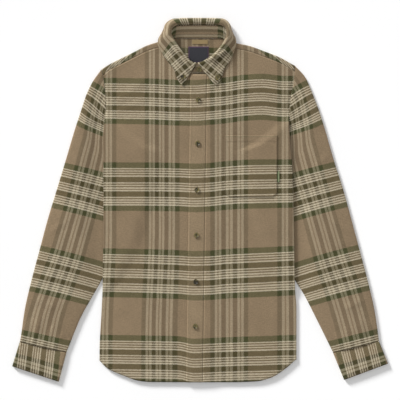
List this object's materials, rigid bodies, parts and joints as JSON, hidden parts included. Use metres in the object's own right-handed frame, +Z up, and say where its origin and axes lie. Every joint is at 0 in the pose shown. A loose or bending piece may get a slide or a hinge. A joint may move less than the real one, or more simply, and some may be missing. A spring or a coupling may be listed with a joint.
{
  "type": "flannel shirt",
  "caption": "Long-sleeved button-down flannel shirt laid flat, with a chest patch pocket, a front placket, a curved hem and barrel cuffs.",
  "frame": {"origin": "on the surface it lies on, under the middle of the shirt's outline", "axes": "+X across the shirt to the right as seen from above, +Y from the hem towards the collar, +Z up from the surface, out of the buttoned front"},
  "size_m": [0.8448, 0.8184, 0.0199],
  "materials": {
    "body_flannel": "brushed cotton plaid in tan, olive and cream",
    "sleeve_flannel": "the same brushed cotton plaid, cut along the sleeve",
    "band_flannel": "the same brushed cotton plaid, interlined and topstitched",
    "label_weave": "plain dark woven label, bare",
    "khaki_tape": "plain khaki twill tape",
    "tab_tape": "plain green folded tape, bare",
    "horn_button": "satin olive-brown horn look"
  },
  "bodies": {
    "root": {"yoke": "body_flannel", "back": "body_flannel", "front_left": "body_flannel", "front_right": "body_flannel", "placket": "band_flannel", "pocket": "body_flannel", "pocket_tab": "tab_tape", "sleeve_left": "sleeve_flannel", "sleeve_right": "sleeve_flannel", "cuff_left": "band_flannel", "cuff_right": "band_flannel", "collar_leaf": "band_flannel", "collar_stand": "band_flannel", "neck_label": "label_weave", "loop_tape": "khaki_tape", "placket_button_1": "horn_button", "placket_button_2": "horn_button", "placket_button_3": "horn_button", "placket_button_4": "horn_button", "placket_button_5": "horn_button", "placket_button_6": "horn_button", "stand_button": "horn_button", "point_button_left": "horn_button", "point_button_right": "horn_button"}
  },
  "joints": []
}
